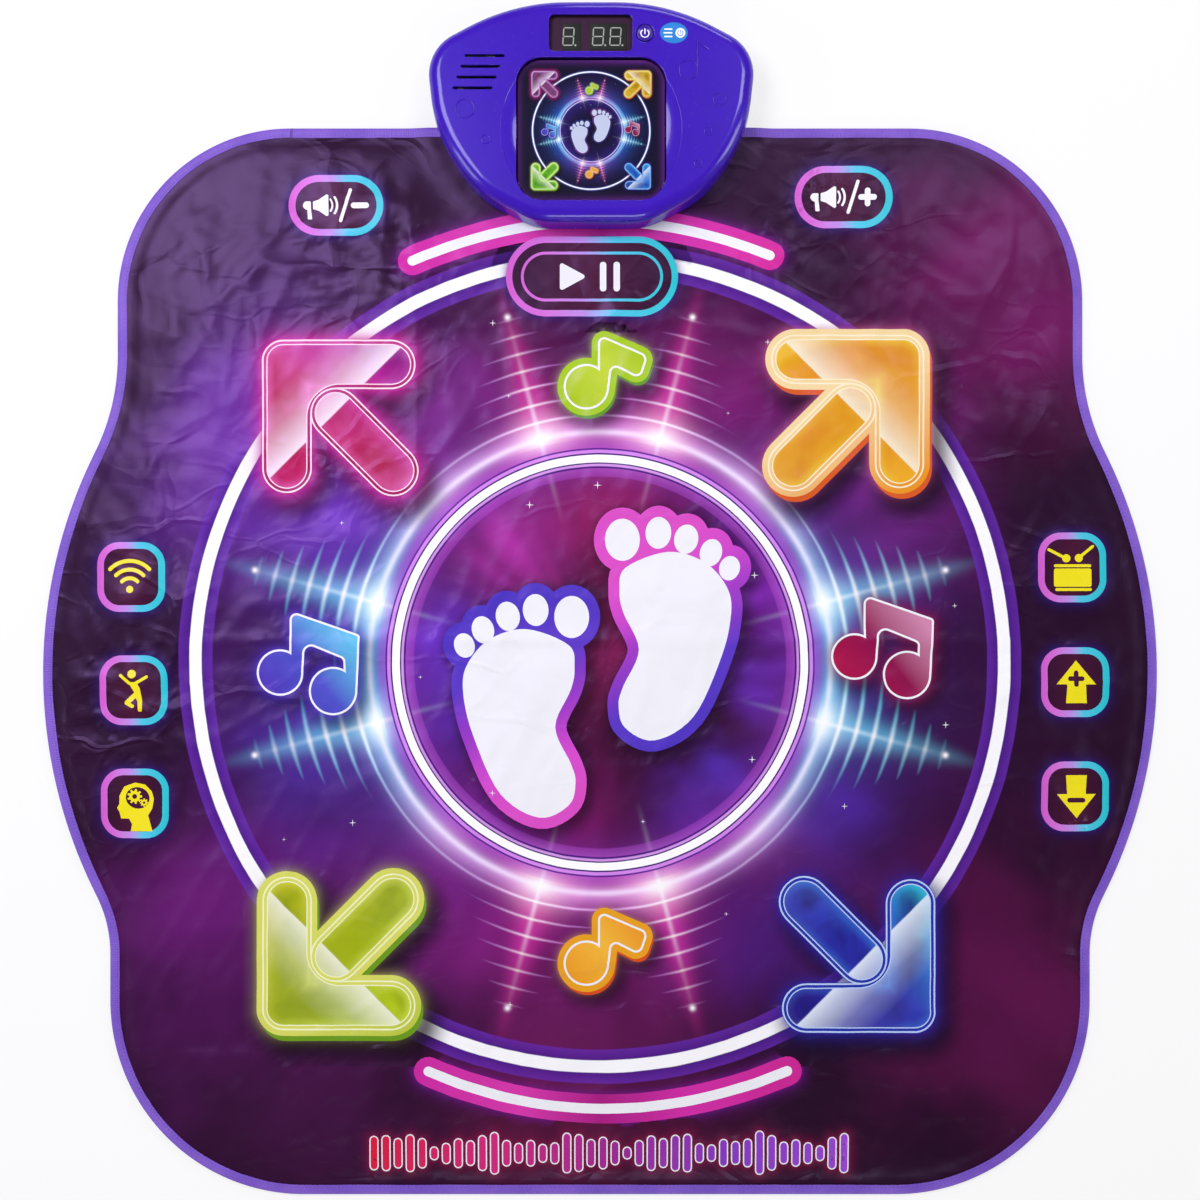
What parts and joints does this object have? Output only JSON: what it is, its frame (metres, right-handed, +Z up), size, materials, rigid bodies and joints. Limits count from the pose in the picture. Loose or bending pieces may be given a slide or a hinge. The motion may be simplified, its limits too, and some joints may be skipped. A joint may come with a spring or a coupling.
{
  "type": "electronic dance mat",
  "caption": "Soft foot-operated dance mat with printed step zones over a membrane switch, a sewn coloured edge and a moulded console with display, speaker and lit picture panel.",
  "frame": {"origin": "middle of the whole outline on the floor, with the mat lying flat", "axes": "+Z up from the floor, +Y from the dancer's near edge to the console, +X to the dancer's right when facing the console"},
  "size_m": [0.903, 0.958, 0.0365],
  "materials": {
    "printed_fabric": "coated polyester, satin",
    "backing_fabric": "dotted non-slip backing",
    "edge_tape": "woven tape, stitched",
    "circuit_film": "clear film",
    "spacer_foam": "soft foam",
    "contact_carbon": "printed carbon",
    "violet_shell": "glossy moulded",
    "violet_base": "fine matt moulded",
    "violet_button": "glossy moulded",
    "black_plastic": "moulded",
    "digit_face": "dark face with pale segments",
    "white_plastic": "moulded",
    "smoked_window": "polished",
    "clear_window": "polished",
    "picture_sheet": "printed film",
    "circuit_board": "lacquered",
    "speaker_steel": "pressed",
    "speaker_paper": "pressed pulp",
    "screw_steel": "plated",
    "foot_rubber": "matt",
    "cell_sleeve": "plain sleeve",
    "contact_steel": "plated"
  },
  "bodies": {
    "root": {"top_fabric": "printed_fabric", "bottom_fabric": "backing_fabric", "edge_binding": "edge_tape", "lower_film": "circuit_film", "upper_film": "circuit_film", "film_tail": "circuit_film", "spacer_foam": "spacer_foam", "top_shell": "violet_shell", "base_shell": "violet_base", "clamp_plate": "black_plastic", "power_switch": "black_plastic", "level_digit": "digit_face", "score_digits": "digit_face", "light_box": "white_plastic", "display_window": "smoked_window", "panel_lens": "clear_window", "panel_print": "picture_sheet", "led_board": "circuit_board", "display_board": "circuit_board", "main_board": "circuit_board", "speaker_basket": "speaker_steel", "speaker_cone": "speaker_paper", "case_screw_near_left": "screw_steel", "foot_near_left": "foot_rubber", "case_screw_near_right": "screw_steel", "foot_near_right": "foot_rubber", "case_screw_far_left": "screw_steel", "foot_far_left": "foot_rubber", "case_screw_far_right": "screw_steel", "foot_far_right": "foot_rubber", "battery_cell_1": "cell_sleeve", "battery_cell_2": "cell_sleeve", "battery_cell_3": "cell_sleeve", "contact_plate_left_bridge": "contact_steel", "contact_plate_left_single": "contact_steel", "contact_plate_right_single": "contact_steel", "contact_plate_right_bridge": "contact_steel"},
    "power_button": {"power_button": "violet_button"},
    "battery_door": {"battery_door": "violet_base", "door_screw": "screw_steel"},
    "contact_arrow_far_left": {"contact_arrow_far_left": "contact_carbon"},
    "contact_arrow_far_right": {"contact_arrow_far_right": "contact_carbon"},
    "contact_arrow_near_left": {"contact_arrow_near_left": "contact_carbon"},
    "contact_arrow_near_right": {"contact_arrow_near_right": "contact_carbon"},
    "contact_note_far": {"contact_note_far": "contact_carbon"},
    "contact_note_near": {"contact_note_near": "contact_carbon"},
    "contact_note_left": {"contact_note_left": "contact_carbon"},
    "contact_note_right": {"contact_note_right": "contact_carbon"},
    "contact_start": {"contact_start": "contact_carbon"},
    "contact_volume_down": {"contact_volume_down": "contact_carbon"},
    "contact_volume_up": {"contact_volume_up": "contact_carbon"},
    "contact_mode_left_far": {"contact_mode_left_far": "contact_carbon"},
    "contact_mode_left_middle": {"contact_mode_left_middle": "contact_carbon"},
    "contact_mode_left_near": {"contact_mode_left_near": "contact_carbon"},
    "contact_mode_right_far": {"contact_mode_right_far": "contact_carbon"},
    "contact_mode_right_middle": {"contact_mode_right_middle": "contact_carbon"},
    "contact_mode_right_near": {"contact_mode_right_near": "contact_carbon"}
  },
  "joints": [
    {"name": "power_button_press", "type": "slide", "parent": "root", "child": "power_button", "axis": [0, 0, 1], "range_m": [-0.0009, 0], "stiffness_N_per_m": 300, "springref_m": 0.001},
    {"name": "battery_door_swing", "type": "hinge", "parent": "root", "child": "battery_door", "pos_m": [-0.04, 0.4245, 0.0004], "axis": [0, 1, 0], "range_deg": [0, 85]},
    {"name": "contact_arrow_far_left_press", "type": "slide", "parent": "root", "child": "contact_arrow_far_left", "axis": [0, 0, 1], "range_m": [-0.0013, 0], "stiffness_N_per_m": 200, "springref_m": 0.0005},
    {"name": "contact_arrow_far_right_press", "type": "slide", "parent": "root", "child": "contact_arrow_far_right", "axis": [0, 0, 1], "range_m": [-0.0013, 0], "stiffness_N_per_m": 200, "springref_m": 0.0005},
    {"name": "contact_arrow_near_left_press", "type": "slide", "parent": "root", "child": "contact_arrow_near_left", "axis": [0, 0, 1], "range_m": [-0.0013, 0], "stiffness_N_per_m": 200, "springref_m": 0.0005},
    {"name": "contact_arrow_near_right_press", "type": "slide", "parent": "root", "child": "contact_arrow_near_right", "axis": [0, 0, 1], "range_m": [-0.0013, 0], "stiffness_N_per_m": 200, "springref_m": 0.0005},
    {"name": "contact_note_far_press", "type": "slide", "parent": "root", "child": "contact_note_far", "axis": [0, 0, 1], "range_m": [-0.0013, 0], "stiffness_N_per_m": 200, "springref_m": 0.0005},
    {"name": "contact_note_near_press", "type": "slide", "parent": "root", "child": "contact_note_near", "axis": [0, 0, 1], "range_m": [-0.0013, 0], "stiffness_N_per_m": 200, "springref_m": 0.0005},
    {"name": "contact_note_left_press", "type": "slide", "parent": "root", "child": "contact_note_left", "axis": [0, 0, 1], "range_m": [-0.0013, 0], "stiffness_N_per_m": 200, "springref_m": 0.0005},
    {"name": "contact_note_right_press", "type": "slide", "parent": "root", "child": "contact_note_right", "axis": [0, 0, 1], "range_m": [-0.0013, 0], "stiffness_N_per_m": 200, "springref_m": 0.0005},
    {"name": "contact_start_press", "type": "slide", "parent": "root", "child": "contact_start", "axis": [0, 0, 1], "range_m": [-0.0013, 0], "stiffness_N_per_m": 200, "springref_m": 0.0005},
    {"name": "contact_volume_down_press", "type": "slide", "parent": "root", "child": "contact_volume_down", "axis": [0, 0, 1], "range_m": [-0.0013, 0], "stiffness_N_per_m": 200, "springref_m": 0.0005},
    {"name": "contact_volume_up_press", "type": "slide", "parent": "root", "child": "contact_volume_up", "axis": [0, 0, 1], "range_m": [-0.0013, 0], "stiffness_N_per_m": 200, "springref_m": 0.0005},
    {"name": "contact_mode_left_far_press", "type": "slide", "parent": "root", "child": "contact_mode_left_far", "axis": [0, 0, 1], "range_m": [-0.0013, 0], "stiffness_N_per_m": 200, "springref_m": 0.0005},
    {"name": "contact_mode_left_middle_press", "type": "slide", "parent": "root", "child": "contact_mode_left_middle", "axis": [0, 0, 1], "range_m": [-0.0013, 0], "stiffness_N_per_m": 200, "springref_m": 0.0005},
    {"name": "contact_mode_left_near_press", "type": "slide", "parent": "root", "child": "contact_mode_left_near", "axis": [0, 0, 1], "range_m": [-0.0013, 0], "stiffness_N_per_m": 200, "springref_m": 0.0005},
    {"name": "contact_mode_right_far_press", "type": "slide", "parent": "root", "child": "contact_mode_right_far", "axis": [0, 0, 1], "range_m": [-0.0013, 0], "stiffness_N_per_m": 200, "springref_m": 0.0005},
    {"name": "contact_mode_right_middle_press", "type": "slide", "parent": "root", "child": "contact_mode_right_middle", "axis": [0, 0, 1], "range_m": [-0.0013, 0], "stiffness_N_per_m": 200, "springref_m": 0.0005},
    {"name": "contact_mode_right_near_press", "type": "slide", "parent": "root", "child": "contact_mode_right_near", "axis": [0, 0, 1], "range_m": [-0.0013, 0], "stiffness_N_per_m": 200, "springref_m": 0.0005}
  ]
}
